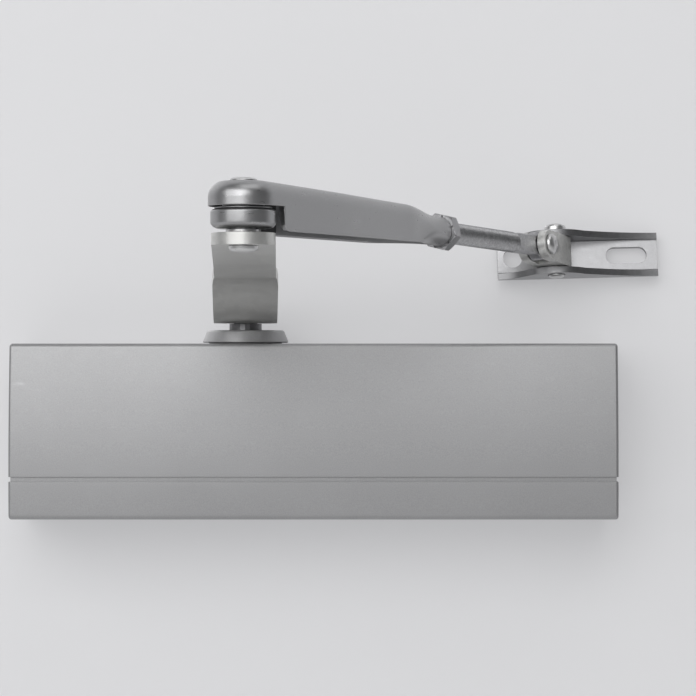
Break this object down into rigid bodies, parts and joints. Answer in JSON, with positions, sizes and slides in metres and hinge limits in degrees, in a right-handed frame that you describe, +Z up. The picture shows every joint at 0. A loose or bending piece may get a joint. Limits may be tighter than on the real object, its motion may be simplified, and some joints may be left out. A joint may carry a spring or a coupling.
{
  "type": "door closer",
  "caption": "Surface-mounted rack-and-pinion door closer with a clip-on cover, flat main arm, adjustable forearm and swivelling frame shoe.",
  "frame": {"origin": "centre of the housing's flat back, which lies on the door face", "axes": "+X to the right along the body, +Y into the door, +Z up; the arm side is -Y"},
  "size_m": [0.2497, 0.2259, 0.1176],
  "materials": {
    "cover_paint": "silver metallic paint on a moulded cover",
    "cast_aluminium": "die cast and blasted",
    "bright_steel": "turned or ground steel",
    "seal_rubber": "moulded seal rubber",
    "zinc_plate": "bright zinc plate",
    "collar_polymer": "moulded, silver grey",
    "spring_steel": "oil-dark spring wire",
    "arm_paint": "silver powder coat on steel",
    "thread_steel": "zinc-plated rolled thread",
    "fork_steel": "dull plated pressed steel"
  },
  "bodies": {
    "closer_body": {"housing": "cast_aluminium", "end_plug_right": "bright_steel", "end_plug_left": "bright_steel", "end_plug_seal_right": "seal_rubber", "end_plug_seal_left": "seal_rubber", "cover_clip_left": "zinc_plate", "cover_clip_right": "zinc_plate", "clip_screw_left": "zinc_plate", "clip_screw_right": "zinc_plate", "upper_bearing": "bright_steel", "lower_bearing": "bright_steel", "upper_seal": "seal_rubber", "lower_seal": "seal_rubber", "gland_nut": "bright_steel", "lower_cap": "bright_steel", "spindle_collar": "collar_polymer", "main_spring": "spring_steel", "spring_seat": "bright_steel"},
    "cover": {"cover": "cover_paint"},
    "piston": {"piston": "bright_steel", "check_valve_ball": "bright_steel", "check_valve_retainer": "bright_steel"},
    "spindle_arm": {"pinion_shaft": "bright_steel", "main_arm": "arm_paint", "arm_screw": "zinc_plate", "arm_screw_washer": "zinc_plate", "elbow_rivet": "bright_steel", "elbow_washer": "bright_steel", "elbow_disc": "arm_paint", "elbow_top_washer": "zinc_plate", "elbow_bush": "bright_steel"},
    "forearm": {"forearm": "arm_paint"},
    "rod": {"adjusting_rod": "thread_steel"},
    "lock_nut": {"lock_nut": "zinc_plate"},
    "swivel": {"swivel_fork": "fork_steel", "swivel_rivet": "bright_steel"},
    "shoe": {"shoe_bracket": "zinc_plate", "shoe_pin": "bright_steel"},
    "closing_valve": {"closing_speed_valve": "bright_steel", "closing_valve_seal": "seal_rubber"},
    "latching_valve": {"latching_speed_valve": "bright_steel", "latching_valve_seal": "seal_rubber"}
  },
  "joints": [
    {"name": "spindle_turn", "type": "hinge", "parent": "closer_body", "child": "spindle_arm", "pos_m": [-0.0265, -0.022, 0], "axis": [0, 0, 1], "range_deg": [0, 170], "stiffness_Nm_per_rad": 1.5, "springref_deg": -114.59},
    {"name": "piston_slide", "type": "slide", "parent": "closer_body", "child": "piston", "axis": [1, 0, 0], "range_m": [0, 0.024], "deforming": ["main_spring"]},
    {"name": "elbow_fold", "type": "hinge", "parent": "spindle_arm", "child": "forearm", "pos_m": [-0.01943, -0.21487, 0.0795], "axis": [0, 0, 1], "range_deg": [-140, 20]},
    {"name": "rod_adjust", "type": "slide", "parent": "forearm", "child": "rod", "axis": [0.4851, 0.8741, -0.0262], "range_m": [-0.012, 0.012]},
    {"name": "lock_nut_turn", "type": "hinge", "parent": "forearm", "child": "lock_nut", "pos_m": [0.04647, -0.09613, 0.07288], "axis": [0.4851, 0.8741, -0.0262], "continuous": true},
    {"name": "rod_tilt", "type": "hinge", "parent": "rod", "child": "swivel", "pos_m": [0.08572, -0.02542, 0.07076], "axis": [0.8707, -0.48, 0.1075], "range_deg": [-6, 24]},
    {"name": "shoe_swing", "type": "hinge", "parent": "swivel", "child": "shoe", "pos_m": [0.09407, -0.0108, 0.0684], "axis": [-0.0258, 0.1736, 0.9845], "range_deg": [-90, 50]},
    {"name": "closing_valve_turn", "type": "hinge", "parent": "closer_body", "child": "closing_valve", "pos_m": [0.094, -0.033, 0.019], "axis": [1, 0, 0], "range_deg": [-90, 360]},
    {"name": "latching_valve_turn", "type": "hinge", "parent": "closer_body", "child": "latching_valve", "pos_m": [0.094, -0.033, -0.019], "axis": [1, 0, 0], "range_deg": [-90, 360]},
    {"name": "cover_slide", "type": "slide", "parent": "closer_body", "child": "cover", "axis": [0, -1, 0], "range_m": [0, 0.06]}
  ],
  "couplings": [
    {"joint": "piston_slide", "follows": "spindle_turn", "m_per_rad": 0.008}
  ]
}
